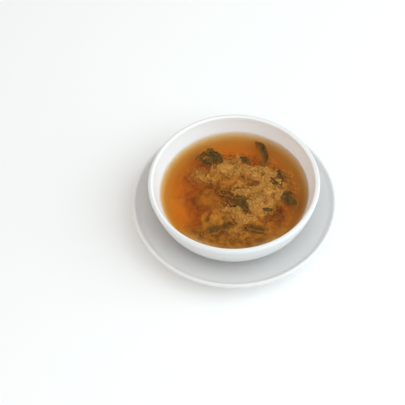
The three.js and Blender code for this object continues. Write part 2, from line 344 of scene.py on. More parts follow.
def glazed(name, white, painted_light_inside, painted_shade_low, bare_below):
    """Clear glaze on porcelain: its whites outside, inside and low inside; bare below a height."""
    material, tree = new_material(name)
    place = put(tree, "ShaderNodeTexCoord").outputs["Object"]
    outward = put(tree, "ShaderNodeVectorMath", {0: place, 1: (1, 1, 0)}, operation="MULTIPLY")
    outward = put(tree, "ShaderNodeVectorMath", {0: outward.outputs[0]}, operation="NORMALIZE")
    facing = put(tree, "ShaderNodeNewGeometry").outputs["Normal"]
    turned_out = put(
        tree, "ShaderNodeVectorMath", {0: outward.outputs[0], 1: facing}, operation="DOT_PRODUCT"
    ).outputs["Value"]
    inside = ranged(tree, turned_out, *PAINTED_LIGHT_TURNS_IN)
    height = put(tree, "ShaderNodeSeparateXYZ", {0: place}).outputs["Z"]
    # For the bowl, the lighter inside white is painted light and the darker low white painted shade.
    painted_within = painted_white_within(tree, height, painted_shade_low, painted_light_inside)
    ground = mixed(tree, inside, white, painted_within)
    clouding = noise(tree, place, CLOUDS_SCALE, detail=2.0)
    shade = ranged(tree, clouding, 0.0, 1.0, 1.0, CLOUDS_SHADE)
    tone = put(tree, "ShaderNodeVectorMath", {0: ground, "Scale": shade}, operation="SCALE")
    bare = ranged(tree, height, bare_below, bare_below + GLAZE_EDGE * MM, 1.0, 0.0)
    colour = mixed(tree, bare, tone.outputs[0], BISQUE)
    wiped = noise(tree, place, WIPES_SCALE, detail=1.0)
    gloss = ranged(tree, wiped, *WIPES_RANGE, *GLAZE_ROUGH)
    rough = put(tree, "ShaderNodeMix", {0: bare, 2: gloss, 3: BISQUE_ROUGH}, data_type="FLOAT")
    peel = noise(tree, place, RIPPLE_SCALE, detail=1.0)
    shader = put(
        tree, "ShaderNodeBsdfPrincipled",
        {"Base Color": colour, "Roughness": rough.outputs[0], "IOR": GLAZE_IOR,
         "Normal": bumped(tree, peel, RIPPLE_STRENGTH, RIPPLE_DEPTH)},
    )
    put(tree, "ShaderNodeOutputMaterial", {"Surface": shader.outputs[0]})
    return material


SAUCER_LIP_CENTRE = [SAUCER_RADIUS - SAUCER_LIP, SAUCER_HEIGHT - SAUCER_LIP]
SAUCER_RISE = [
    [SAUCER_WELL_RADIUS, SAUCER_WELL_TOP],
    [SAUCER_WELL_RADIUS + RISE_LEAVES, SAUCER_WELL_TOP],
    [SAUCER_LIP_CENTRE[0] - RISE_COMES[0], SAUCER_LIP_CENTRE[1] - RISE_COMES[1]],
    [SAUCER_LIP_CENTRE[0] - RISE_ENDS[0], SAUCER_LIP_CENTRE[1] - RISE_ENDS[1]],
]
saucer_under = SAUCER_WELL_TOP - SAUCER_WALL
saucer_below = [
    point for point in along_curve(SAUCER_RISE, STEPS_UP_SAUCER, lambda t: -SAUCER_WALL)
    if point[0] > SAUCER_FOOT_OUTER + 2 * FOOT_BEVEL
]
saucer = jiggered(
    "saucer_porcelain",
    [
        [0, saucer_under],
        [SAUCER_FOOT_INNER - FOOT_BEVEL, saucer_under],
        [SAUCER_FOOT_INNER, FOOT_BEVEL],
        [SAUCER_FOOT_INNER + FOOT_BEVEL, 0],
        [SAUCER_FOOT_OUTER - FOOT_BEVEL, 0],
        [SAUCER_FOOT_OUTER, FOOT_BEVEL],
        [SAUCER_FOOT_OUTER + FOOT_BEVEL, saucer_under + SAUCER_FOOT_ROOT_UP],
        *saucer_below[:-1],
        *along_arc(SAUCER_LIP_CENTRE, SAUCER_LIP, *SAUCER_LIP_TURN, STEPS_OVER_LIP),
        *along_curve(SAUCER_RISE, STEPS_UP_SAUCER)[::-1][1:],
        [0, SAUCER_WELL_TOP],
    ],
    glazed("glaze on the saucer", SAUCER_GLAZE, SAUCER_GLAZE, SAUCER_GLAZE, GLAZE_STOPS * MM),
)
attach(saucer, "root")
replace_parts(saucer, "saucer")


# ---- Bowl ----
# The same white porcelain, jiggered thicker: one curve from a rounded lip to a low foot ring, in
# a wall that thickens below the lip. It stands loose in the saucer's well. Its white is painted
# lighter inside, as painted light, and painted darker and warmer low inside, as painted shade
# where it lies deep under the broth.

BOWL_RADIUS = 63.8
BOWL_RIM_TOP = 46.2
BOWL_WALL = 5.0
BOWL_LIP = 1.9
# The lip's arc, and how far the side leans out below it, in degrees.
BOWL_LIP_TURN = (0, 165)
BOWL_FLARE = 10.5
# The share of the curve from the lip in which the wall reaches its full thickness, and how far
# in from the side and down from the rim the curve's two guides stand.
THICKENED = 0.3
CURVE_GUIDES = ((2.9, 17.7), (7.8, 36.4))
BOWL_FLOOR_TOP = 12.8
BOWL_FLOOR_UNDER = 8.8
BOWL_FOOT_INNER = 28.0
BOWL_FOOT_OUTER = 31.2
BOWL_FOOT_ROOT = 33.0
BOWL_FOOT_TOP = 8.6
BOWL_OVER_WELL = 0.02
BOWL_BASE = SAUCER_WELL_TOP + BOWL_OVER_WELL
FLOOR_FLAT_RADIUS = 26.0
FLOOR_CORNER = 0.5
STEPS_UP_BOWL = 24
# The outside's white; the inside's white, painted lighter as painted light; and the low inside's
# white, painted darker and warmer as painted shade where it lies deep under the broth.
BOWL_GLAZE = (0.785, 0.795, 0.800, 1)
BOWL_INSIDE_PAINTED_LIGHT = (0.950, 0.950, 0.940, 1)
BOWL_LOW_PAINTED_SHADE = (0.680, 0.600, 0.560, 1)

BOWL_LIP_CENTRE = [BOWL_RADIUS - BOWL_LIP, BOWL_RIM_TOP - BOWL_LIP]
BOWL_CURVE = [
    along_arc(BOWL_LIP_CENTRE, BOWL_LIP, -BOWL_FLARE, 0, 1)[0],
    *([BOWL_RADIUS - in_by, BOWL_RIM_TOP - down_by] for in_by, down_by in CURVE_GUIDES),
    [BOWL_FOOT_ROOT, BOWL_FOOT_TOP],
]


def smooth(low, high, values):
    """0 below low, 1 above high, and an even rise between."""
    share = np.clip((values - low) / (high - low), 0, 1)
    return share * share * (3 - 2 * share)


def inner_wall(count, outset=0.0):
    """The bowl's inner wall from under the lip to the floor, moved into the clay by outset."""
    def away(t):
        return outset - (2 * BOWL_LIP + (BOWL_WALL - 2 * BOWL_LIP) * smooth(0, THICKENED, t))

    points = along_curve(BOWL_CURVE, count, away)[1:]
    return [point for point in points if point[1] > BOWL_FLOOR_TOP - outset + FLOOR_CORNER]


bowl = jiggered(
    "bowl_porcelain",
    [
        [0, BOWL_FLOOR_UNDER],
        [BOWL_FOOT_INNER - 2 * FOOT_BEVEL, BOWL_FLOOR_UNDER],
        [BOWL_FOOT_INNER, BOWL_BASE + FOOT_BEVEL],
        [BOWL_FOOT_INNER + FOOT_BEVEL, BOWL_BASE],
        [BOWL_FOOT_OUTER - FOOT_BEVEL, BOWL_BASE],
        [BOWL_FOOT_OUTER, BOWL_BASE + FOOT_BEVEL],
        *along_curve(BOWL_CURVE, STEPS_UP_BOWL)[::-1],
        *along_arc(BOWL_LIP_CENTRE, BOWL_LIP, *BOWL_LIP_TURN, STEPS_OVER_LIP),
        *inner_wall(STEPS_UP_BOWL),
        [FLOOR_FLAT_RADIUS, BOWL_FLOOR_TOP],
        [0, BOWL_FLOOR_TOP],
    ],
    glazed(
        "glaze on the bowl", BOWL_GLAZE, BOWL_INSIDE_PAINTED_LIGHT, BOWL_LOW_PAINTED_SHADE,
        (BOWL_BASE + GLAZE_STOPS) * MM,
    ),
)
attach(bowl, "root")
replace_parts(bowl, "bowl")


# ---- Broth ----
# Clear dashi, stained orange-brown by soybean paste. It fills the bowl to 13 mm below the rim
# and creeps a little up the wall. Its skin reaches into the clay, so that no gap shows round it.

BROTH_UNDER_RIM = 13.0
LEVEL = BOWL_RIM_TOP - BROTH_UNDER_RIM
CREEP_WIDTH = 1.6
CREEP_RISE = 0.2
# Part of the way in, the creep has sunk to this share of its rise.
CREEP_SAGS = 0.3
INTO_CLAY = 0.4
STEPS_UP_SHORE = 90
WALL_ENDS_UNDER = 1.0
# What is lost of red, green and blue to the metre, and how far the stain's density stands over
# the greatest of them.
BROTH_LOSS = (4.5, 36.0, 124.0)
LOSS_MARGIN = 1.04
BROTH_IOR = 1.333
BROTH_ROUGH = 0.02
SWELL_SCALE = 90.0

material, tree = new_material("broth")
loss = max(BROTH_LOSS) * LOSS_MARGIN
stain = put(
    tree, "ShaderNodeVolumeAbsorption",
    {"Color": (*(1 - each / loss for each in BROTH_LOSS), 1), "Density": loss},
)
place = put(tree, "ShaderNodeTexCoord").outputs["Object"]
swell = noise(tree, place, SWELL_SCALE, detail=2.0)
shader = put(
    tree, "ShaderNodeBsdfPrincipled",
    {"Base Color": (1, 1, 1, 1), "Roughness": BROTH_ROUGH, "IOR": BROTH_IOR,
     "Transmission Weight": 1.0, "Normal": bumped(tree, swell, RIPPLE_STRENGTH, RIPPLE_DEPTH)},
)
# The lamps shine straight down through the surface, so the white wall glows to the very edge.
rays = put(tree, "ShaderNodeLightPath")
clear = put(tree, "ShaderNodeBsdfTransparent")
surface = put(
    tree, "ShaderNodeMixShader",
    {0: rays.outputs["Is Shadow Ray"], 1: shader.outputs[0], 2: clear.outputs[0]},
)
put(
    tree, "ShaderNodeOutputMaterial",
    {"Surface": surface.outputs[0], "Volume": stain.outputs[0]},
)

broth_wall = [
    point for point in inner_wall(STEPS_UP_BOWL, INTO_CLAY) if point[1] < LEVEL - WALL_ENDS_UNDER
]
above_creep = [
    point for point in inner_wall(STEPS_UP_SHORE, INTO_CLAY) if point[1] > LEVEL + CREEP_RISE
]
shore = above_creep[-1][0]
broth = jiggered(
    "broth",
    [
        [0, BOWL_FLOOR_TOP - INTO_CLAY],
        [FLOOR_FLAT_RADIUS, BOWL_FLOOR_TOP - INTO_CLAY],
        *broth_wall[::-1],
        [shore, LEVEL + CREEP_RISE],
        [shore - INTO_CLAY - CREEP_SAGS * CREEP_WIDTH, LEVEL + CREEP_SAGS * CREEP_RISE],
        [shore - INTO_CLAY - CREEP_WIDTH, LEVEL],
        [0, LEVEL],
    ],
    material,
)
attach(broth, "root")
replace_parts(broth, "soup")


# ---- Miso cloud ----
# Soybean paste that has curdled into soft clots and drifted together. Its banks stand a hair
# under the broth's surface in the middle, and come apart at their edges into loose specks.

CLOUD_CELL = 0.46
CLOUD_FROM = (-56.0, -56.0)
CLOUD_TO = (56.0, 56.0)
CLOUD_SHOALS = [
    # centre x, centre y, half length, half width, turn, top above the level
    (-1, 21, 16, 9.5, -4, -0.3),
    (20, 17, 15, 9, -10, -0.3),
    (4, 24, 9, 5, 0, -0.2),
    (28, 2, 11, 14, 0, -0.2),
    (18, -4, 13, 10, -20, -0.1),
    (6, 1, 8, 4, -10, -0.5),
    (20, -15.5, 12, 6, 0, -0.3),
    (-20, 13, 11, 5, -8, -0.8),
    (1, -18, 10, 4.5, -8, -0.7),
    (6, -24, 13, 7, 0, -1.2),
    (3, -34, 8, 6, 0, -2.4),
]
CLOUD_BED = [
    # the same columns: what has settled, a soft bed that falls away to the bowl's floor
    (-22, 15, 13, 8, 0, -3.8),
    (6, 15, 28, 11, -5, -3.6),
    (30, 2, 12, 17, 0, -3.4),
    (-8, -6, 23, 11, -8, -6.2),
    (-7, -27, 19, 12, 0, -3.6),
    (-9, -38, 24, 12, 0, -4.0),
    (12, -36, 20, 13, 0, -4.0),
]
CLOUD_PAINTED_SHADE = [
    # centre x, centre y, half length, half width, turn, shade: painted shade in hollows and gaps
    (-4, -4, 15, 6.5, -20, 0.5),
    (-23, -6, 19, 10, 10, 0.36),
    (0, -42, 32, 13, 0, 0.38),
    (-27, -38, 10, 8, -30, 0.42),
    (33, -21, 9, 7, 20, 0.4),
    (24, -39, 16, 8, 15, 0.25),
    (34, 8, 4, 9, 0, 0.3),
    (0, 17, 3, 2.5, 40, 0.3),
    (12, 6, 5, 3, -30, 0.36),
    (22, -2, 3.5, 2.5, 0, 0.3),
    (30, 4, 8, 14, 0, 0.06),
]
# A bank's top domes a little and then slopes off from a share of its way out.
BANK_DOME = 0.4
BANK_SLOPE = 9.0
SLOPE_FROM = 0.65
SLOPE_POWER = 1.3
# How far out the bed starts to fall and lies on the floor, how thick it is where it lets no
# white through, how wide it runs out on the wall, and how far its underside is in the glaze.
BED_FALLS = (0.7, 2.1)
THIN_BED = 11.0
BED_FILLET = 4.0
BED_IN_GLAZE = 0.1
# How finely the porcelain under it is followed, the thinnest paste there is, how often stray
# places are dropped, how many of nine a kept one needs covered, and from how many degrees an edge
# stays sharp.
WALL_STEPS = 60
LEAST_BED = 0.12
CROWD_ROUNDS = 2
CROWD_LEAST = 6
SHARP_FROM = 100
# How far out a patch of painted shade starts to fade, and where it is gone.
PAINTED_SHADE_FADES = (0.4, 1.7)
# How the edges wander: by how much in all, in bends of what size, and the seeds for x and y.
WIDE_BENDS = [(8, 8, 1, 3)]
RAGGED_BENDS = [(5, 3.4, 2, 4), (2, 1.5, 14, 15)]
SETTLED_RAGGED = 0.3
# Clots from large to small: pitch, seed, mean height, their rise in mm, and how much they count
# in the painted shade, paler where they stand out. Their grid is bent by so much, in bends of
# this size, with these seeds.
CLOTS = [
    (6.2, 7, 0.85, 1.2, 0.4),
    (2.7, 8, 0.8, 0.75, 0.4),
    (1.35, 9, 0.8, 0.25, 0.2),
]
CLOT_BENDS = (1.1, 1.7, 5, 6)
# A clot's place in its cell, its radius and its height: the least, and how much chance adds.
CLOT_PLACE = (0.15, 0.7)
CLOT_RADIUS = (0.55, 0.35)
CLOT_HEIGHT = (0.6, 0.4)
# Pits between clots: their size, seed, where the noise starts one and over what it is full.
PITS = (4.2, 16, 0.66, 0.15)
PIT_DEPTH = 1.4
PIT_SHADE = 0.35
# The clots' rise keeps this share where it lies at the lower depth, and all at the upper one.
SMOOTHED_SHARE = 0.1
SMOOTHED_BETWEEN = (-7, -1.5)
RELIEF_AT_THICKNESS = (0.0, 2.5)
STAND_MEAN = 0.65
STAND_LIFT = 0.2
UNSEEN_DEPTH = -60.0
LATTICE = 256


def drift(x, y, size, seed):
    """Smooth noise from 0 to 1 with features of a size, on a lattice turned by its seed."""
    lattice = np.random.default_rng(seed).random((LATTICE, LATTICE))
    c, s = math.cos(seed), math.sin(seed)
    gx, gy = (x * c - y * s) / size + LATTICE / 2, (x * s + y * c) / size + LATTICE / 2
    ix, iy = np.floor(gx).astype(int), np.floor(gy).astype(int)
    fx, fy = smooth(0, 1, gx - ix), smooth(0, 1, gy - iy)
    ix, iy, ix_next, iy_next = (each % LATTICE for each in (ix, iy, ix + 1, iy + 1))
    near = lattice[ix, iy] * (1 - fx) + lattice[ix_next, iy] * fx
    far = lattice[ix, iy_next] * (1 - fx) + lattice[ix_next, iy_next] * fx
    return near * (1 - fy) + far * fy


def clots(x, y, pitch, seed):
    """Heights from 0 to 1 of round clots that crowd together, one to a cell of a jittered grid."""
    draw = np.random.default_rng(seed)
    jitter_x, jitter_y, grow = draw.random((3, LATTICE, LATTICE))
    gx, gy = x / pitch + LATTICE / 2, y / pitch + LATTICE / 2
    ix, iy = np.floor(gx).astype(int), np.floor(gy).astype(int)
    best = np.zeros_like(gx)
    for step_x in (-1, 0, 1):
        for step_y in (-1, 0, 1):
            cx, cy = ix + step_x, iy + step_y
            away_x = gx - (cx + CLOT_PLACE[0] + CLOT_PLACE[1] * jitter_x[cx, cy])
            away_y = gy - (cy + CLOT_PLACE[0] + CLOT_PLACE[1] * jitter_y[cx, cy])
            radius = CLOT_RADIUS[0] + CLOT_RADIUS[1] * grow[cx, cy]
            height = CLOT_HEIGHT[0] + CLOT_HEIGHT[1] * grow[cx, cy]
            dome = 1 - (away_x ** 2 + away_y ** 2) / radius ** 2
            best = np.maximum(best, np.sqrt(np.clip(dome, 0, 1)) * height)
    return best


def out_of(shoals, x, y, ragged=1.0):
    """How far out each place lies of its nearest shoal, 1 at its edge, and that shoal's top."""
    wander_x = wander_y = 0.0
    for bends, share in ((WIDE_BENDS, 1.0), (RAGGED_BENDS, ragged)):
        for reach, size, seed_x, seed_y in bends:
            wander_x = wander_x + reach * share * (drift(x, y, size, seed_x) - 0.5)
            wander_y = wander_y + reach * share * (drift(x, y, size, seed_y) - 0.5)
    nearest = np.full_like(x, np.inf)
    top = np.zeros_like(x)
    for cx, cy, long, wide, turn, height in shoals:
        c, s = math.cos(math.radians(turn)), math.sin(math.radians(turn))
        away_x, away_y = x + wander_x - cx, y + wander_y - cy
        out = np.hypot((away_x * c + away_y * s) / long, (away_y * c - away_x * s) / wide)
        top = np.where(out < nearest, height, top)
        nearest = np.minimum(out, nearest)
    return nearest, top


wall_r, wall_z = np.array(inner_wall(WALL_STEPS)[::-1]).T


def porcelain_under(x, y):
    """The bowl's inside below each place, in mm over the broth's level."""
    inside_z = np.interp(np.hypot(x, y), [FLOOR_FLAT_RADIUS, *wall_r], [BOWL_FLOOR_TOP, *wall_z])
    return inside_z - LEVEL


def cloud_heights(x, y):
    """The cloud's top over the level, in mm, and its painted shade: darker in hollows and pits."""
    bank = np.full_like(x, UNSEEN_DEPTH)
    floor_z = porcelain_under(x, y)
    for shoal in CLOUD_SHOALS:
        out, top = out_of([shoal], x, y)
        slope = BANK_SLOPE * np.clip(out - SLOPE_FROM, 0, None) ** SLOPE_POWER
        bank = np.maximum(bank, top - BANK_DOME * out ** 2 - slope)
    for shoal in CLOUD_BED:
        out, top = out_of([shoal], x, y, SETTLED_RAGGED)
        fallen = smooth(*BED_FALLS, out)
        bank = np.maximum(bank, top * (1 - fallen) + (BOWL_FLOOR_TOP - LEVEL) * fallen)
    painted_shade = np.zeros_like(x)
    for shoal in CLOUD_PAINTED_SHADE:
        out, shade = out_of([shoal], x, y, SETTLED_RAGGED)
        painted_shade = np.maximum(painted_shade, shade * (1 - smooth(*PAINTED_SHADE_FADES, out)))
    # What lies deep has settled smooth, and runs out on the porcelain without a crease.
    relief = SMOOTHED_SHARE + (1 - SMOOTHED_SHARE) * smooth(*SMOOTHED_BETWEEN, bank)
    near = np.clip(1 - np.abs(bank - floor_z) / BED_FILLET, 0, 1)
    bank = np.maximum(bank, floor_z) + BED_FILLET / 4 * near * near
    relief = relief * smooth(*RELIEF_AT_THICKNESS, bank - floor_z)
    bend, bend_size, seed_x, seed_y = CLOT_BENDS
    bent_x = x + bend * (drift(x, y, bend_size, seed_x) - 0.5)
    bent_y = y + bend * (drift(x, y, bend_size, seed_y) - 0.5)
    bumps = raised = 0.0
    for pitch, seed, mean, rise, counts in CLOTS:
        clot = clots(bent_x, bent_y, pitch, seed) - mean
        bumps = bumps + rise * clot
        raised = raised + counts * clot
    pit_size, seed, pit_from, pit_over = PITS
    pit = np.clip((drift(x, y, pit_size, seed) - pit_from) / pit_over, 0, 1)
    top = bank + relief * (bumps - PIT_DEPTH * pit)
    # Painted shade: paler on the clots' tops, darker in pits, hollows and the shaded patches.
    tone_and_shade = STAND_MEAN + relief * (raised + STAND_LIFT - PIT_SHADE * pit) - painted_shade
    return top, tone_and_shade


columns = int((CLOUD_TO[0] - CLOUD_FROM[0]) / CLOUD_CELL)
rows = int((CLOUD_TO[1] - CLOUD_FROM[1]) / CLOUD_CELL)
grid_x, grid_y = np.meshgrid(
    CLOUD_FROM[0] + CLOUD_CELL * np.arange(columns),
    CLOUD_FROM[1] + CLOUD_CELL * np.arange(rows),
    indexing="ij",
)
cloud_top, cloud_tone_and_shade = cloud_heights(grid_x, grid_y)
cloud_below = porcelain_under(grid_x, grid_y) - BED_IN_GLAZE
cloud_thin = 1 - smooth(0.0, THIN_BED, cloud_top - cloud_below)
covered = cloud_top > cloud_below + LEAST_BED
# Places with few covered neighbours are dropped, so that the skin above and the skin below meet
# on clean edges.
for _ in range(CROWD_ROUNDS):
    crowd = sum(
        np.roll(covered, (a, b), (0, 1)).astype(int) for a in (-1, 0, 1) for b in (-1, 0, 1)
    )
    covered &= crowd >= CROWD_LEAST
full = covered[:-1, :-1] & covered[1:, :-1] & covered[1:, 1:] & covered[:-1, 1:]
around = np.zeros_like(covered, dtype=int)
for a in (0, 1):
    for b in (0, 1):
        around[a:around.shape[0] - 1 + a, b:around.shape[1] - 1 + b] += full
# Along its edge the two skins share their points, which closes the cloud.
used = around > 0
edge = used & (around < 4)
middle_z = 0.5 * (cloud_top + cloud_below)
upper_z = np.where(edge, middle_z, cloud_top)
lower_z = np.where(edge, middle_z, cloud_below)
upper_at = np.full(covered.shape, -1)
upper_at[used] = np.arange(used.sum())
lower_at = upper_at.copy()
deep = used & ~edge
lower_at[deep] = used.sum() + np.arange(deep.sum())
cloud_points = np.vstack([
    np.stack([grid_x[used], grid_y[used], LEVEL + upper_z[used]], axis=1),
    np.stack([grid_x[deep], grid_y[deep], LEVEL + lower_z[deep]], axis=1),
]) * MM
i, j = np.argwhere(full).T
corners = [(i, j), (i + 1, j), (i + 1, j + 1), (i, j + 1)]
cloud_faces = np.vstack([
    np.stack([upper_at[corner] for corner in corners], axis=1),
    np.stack([lower_at[corner] for corner in corners[:1] + corners[:0:-1]], axis=1),
])
cloud = mesh_object("miso_cloud_curds", cloud_points.tolist(), cloud_faces.tolist())
cloud.data.shade_smooth()
cloud.data.set_sharp_from_angle(angle=math.radians(SHARP_FROM))


def note(thing, name, values):
    """Keeps a value for each point of a mesh, for its material or its nodes to read."""
    kept = thing.data.attributes.new(name, "FLOAT", "POINT")
    kept.data.foreach_set("value", np.asarray(values, np.float32).ravel())


note(cloud, "tone_and_shade", np.concatenate([cloud_tone_and_shade[used], cloud_tone_and_shade[deep]]))
note(cloud, "thin", np.concatenate([cloud_thin[used], cloud_thin[deep]]))

PASTE_PALE = (0.59, 0.285, 0.068, 1)
PASTE_MIDDLE = (0.44, 0.220, 0.037, 1)
PASTE_DARK = (0.25, 0.118, 0.017, 1)
WET_FILM = (1.0, 0.84, 0.61, 1)
# The mottle and the patches in the paste, as patterns to the metre, how much they and a place's
# tone and painted shade count in its colour, and the sums between which it goes from dark to pale.
MOTTLE_SCALE = 420.0
PATCHES_SCALE = 240.0
MOTTLE_COUNTS = 0.3
PATCHES_COUNT = 0.9
STAND_COUNTS = 0.9
SHADES_OVER = (0.7, 1.4)
MIDDLE_AT = 0.45
MOTTLE_STRENGTH = 0.3
MOTTLE_DEPTH = 0.15
PASTE_ROUGH = 0.6
PASTE_IOR = 1.15
OUT_OF_BROTH = (-0.05, 0.25)


def out_of_broth(tree, height, most=1.0):
    """How far a place stands out of the broth: 0 under the level, and most well over it."""
    low, high = ((LEVEL + over) * MM for over in OUT_OF_BROTH)
    return ranged(tree, height, low, high, 0.0, most)


paste, tree = new_material("miso paste")
place = put(tree, "ShaderNodeTexCoord").outputs["Object"]
mottle = noise(tree, place, MOTTLE_SCALE, detail=2.5, Roughness=0.55)
patches = noise(tree, place, PATCHES_SCALE, detail=2.0)
fine = reckon(tree, "MULTIPLY", mottle, MOTTLE_COUNTS)
both = reckon(tree, "MULTIPLY_ADD", patches, PATCHES_COUNT, fine)
# On the cloud this is painted shade, darker in hollows; on a speck it is a tone given by chance.
tone_and_shade = put(tree, "ShaderNodeAttribute", attribute_name="tone_and_shade").outputs["Fac"]
raised = reckon(tree, "MULTIPLY_ADD", tone_and_shade, STAND_COUNTS, both)
shades = put(tree, "ShaderNodeValToRGB", {0: ranged(tree, raised, *SHADES_OVER)})
stops = shades.color_ramp.elements
stops[0].color = PASTE_DARK
stops[1].color = PASTE_PALE
stops.new(MIDDLE_AT).color = PASTE_MIDDLE
# What stands out of the broth is darker for the film of it that clings to the paste.
height = put(tree, "ShaderNodeSeparateXYZ", {0: place}).outputs["Z"]
film = out_of_broth(tree, height)
wetted = mixed(tree, film, shades.outputs[0], WET_FILM, blend_type="MULTIPLY")
# Where the bed is thin the bowl's white shows through, with its painted light and painted shade.
thin = put(tree, "ShaderNodeAttribute", attribute_name="thin").outputs["Fac"]
painted_glaze_behind = painted_white_within(tree, height, BOWL_LOW_PAINTED_SHADE, BOWL_INSIDE_PAINTED_LIGHT)
shader = put(
    tree, "ShaderNodeBsdfPrincipled",
    {"Base Color": mixed(tree, thin, wetted, painted_glaze_behind), "Roughness": PASTE_ROUGH,
     "IOR": PASTE_IOR, "Normal": bumped(tree, mottle, MOTTLE_STRENGTH, MOTTLE_DEPTH)},
)
put(tree, "ShaderNodeOutputMaterial", {"Surface": shader.outputs[0]})

cloud.data.materials.append(paste)
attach(cloud, "root")
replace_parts(cloud, "miso_cloud")


# ---- Miso specks ----
# Single curds of the same paste. Grains crowd on the cloud's banks and a few float off alone;
# finer specks hang in the broth around and under the banks, thinner the further out.

SPECK_STRETCH = ((0.75, 0.75, 0.6), (1.3, 1.3, 1.0))
# Grains lie on the cloud down to a depth, where it is so thick over the porcelain, and sink in by
# a share of their width. A noise of this size and seed crowds them, with chance's weight in it,
# and they are kept where the sum is over the bar. Their stand is the least, and what chance adds.
GRAIN_ACROSS = (0.9, 2.6)
GRAIN_PITCH = 1.0
GRAIN_DEEPEST = -2.6
GRAIN_OVER_PORCELAIN = 1.5
GRAIN_SINKS = 0.05
GRAIN_CROWDS = (4, 43)
GRAIN_CHANCE = 0.5
GRAIN_BAR = 0.5
GRAIN_STAND = (0.5, 0.4)
GRAIN_SEED = 41
GRAIN_TURN_SEED = 3
FLOATING_STAND = 0.9
FLOATING = [
    # x, y, across, height over the level: curds that lie alone, and last the eight that the
    # back left leaf has caught
    (-20.7, 7.8, 2.2, -0.3), (-18.9, 6.9, 1.3, -0.2), (-20.8, -2.3, 1.6, -0.2),
    (-33.0, 9.0, 1.0, -0.2), (-4.5, -14.0, 1.6, -0.2), (-6.5, -12.2, 1.1, -0.2),
    (40.6, 4.2, 1.0, -0.2), (-21.2, 31.6, 1.2, 0.2), (-20.3, 31.0, 0.9, 0.3),
    (-21.9, 30.7, 0.8, 0.2), (-19.5, 30.2, 1.0, 0.4), (-20.9, 30.1, 0.7, 0.3),
    (-22.8, 29.7, 1.1, 0.1), (-22.1, 29.2, 0.7, 0.2), (-20.4, 29.0, 0.8, 0.3),
]
LOOSE_SHOALS = [
    # the same columns as the cloud's: banks of loose specks only
    (-26, 13, 12, 9, -8, -1.6),
    (-21, 22, 9, 5, 30, -1.4),
    (-6, -24, 14, 10, 0, -1.4),
    (-15, -31, 15, 12, 0, -2.6),
    (2, -36, 15, 9, 0, -2.2),
    (18, -28, 13, 10, 0, -2.0),
    (36, 8, 9, 15, 0, -1.4),
    (-6, 1, 14, 5, -20, -3.0),
]
LOOSE = {
    # across from and to, spread in depth, how many are tried, the most that are kept, seed
    "miso_flecks": (0.8, 1.6, 2.4, 6000, 3000, 51),
    "miso_haze": (0.3, 0.7, 3.5, 52000, 9400, 52),
}
# They thin out over so much of the way to where they end, unevenly by a noise of this size, from
# the least dense by what it adds. None hang near the wall or inside the cloud, and the further
# out they are the deeper they have sunk.
LOOSE_END = 1.45
LOOSE_THIN_OVER = 0.7
LOOSE_THIN_POWER = 1.5
LOOSE_DRIFTS = 3.5
LOOSE_DENSE = (0.4, 0.9)
LOOSE_WITHIN = 48
BURIED_OVER = -1.5
SINKS_FROM = 0.8
SINKS_BY = 2.2
LOOSE_STAND = (0.55, 0.45)
# Towards the front wall the specks have settled, and most of them are gone from the broth.
SETTLED_OVER_Y = (-12.0, -22.0)
SETTLED_SHARE = 0.75


def speck_tree():
    """Geometry nodes that stand a rough grain of its own size and turn on each point."""
    tree = bpy.data.node_groups.new("specks", "GeometryNodeTree")
    sockets = tree.interface
    sockets.new_socket("Places", in_out="INPUT", socket_type="NodeSocketGeometry")
    sockets.new_socket("Seed", in_out="INPUT", socket_type="NodeSocketInt")
    sockets.new_socket("Finish", in_out="INPUT", socket_type="NodeSocketMaterial")
    sockets.new_socket("Specks", in_out="OUTPUT", socket_type="NodeSocketGeometry")
    given = put(tree, "NodeGroupInput").outputs
    lump = put(tree, "GeometryNodeMeshIcoSphere", {"Radius": 0.5, "Subdivisions": 1})
    turn = put(
        tree, "FunctionNodeRandomValue",
        {1: (math.tau, math.tau, math.tau), "Seed": given["Seed"]}, data_type="FLOAT_VECTOR",
    )
    stretch = put(
        tree, "FunctionNodeRandomValue",
        {0: SPECK_STRETCH[0], 1: SPECK_STRETCH[1], "Seed": given["Seed"]},
        data_type="FLOAT_VECTOR",
    )
    across = put(tree, "GeometryNodeInputNamedAttribute", {"Name": "across"}, data_type="FLOAT")
    size = put(
        tree, "ShaderNodeVectorMath",
        {0: stretch.outputs[0], "Scale": across.outputs["Attribute"]}, operation="SCALE",
    )
    standing = put(
        tree, "GeometryNodeInstanceOnPoints",
        {"Points": given["Places"], "Instance": lump.outputs["Mesh"],
         "Rotation": turn.outputs[0], "Scale": size.outputs[0]},
    )
    real = put(tree, "GeometryNodeRealizeInstances", {"Geometry": standing.outputs[0]})
    rounded = put(tree, "GeometryNodeSetShadeSmooth", {"Geometry": real.outputs[0]})
    dressed = put(
        tree, "GeometryNodeSetMaterial",
        {"Geometry": rounded.outputs[0], "Material": given["Finish"]},
    )
    put(tree, "NodeGroupOutput", {"Specks": dressed.outputs[0]})
    return tree


specks = speck_tree()


def strew(name, places, across, tone_and_shade, seed):
    """Makes one piece of specks at places in mm, each as wide as its own across."""
    points = mesh_object(name, (np.asarray(places) * MM).tolist(), [])
    note(points, "across", np.asarray(across) * MM)
    note(points, "tone_and_shade", tone_and_shade)
    made = grown(points, specks, {"Seed": seed, "Finish": paste})
    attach(made, "root")


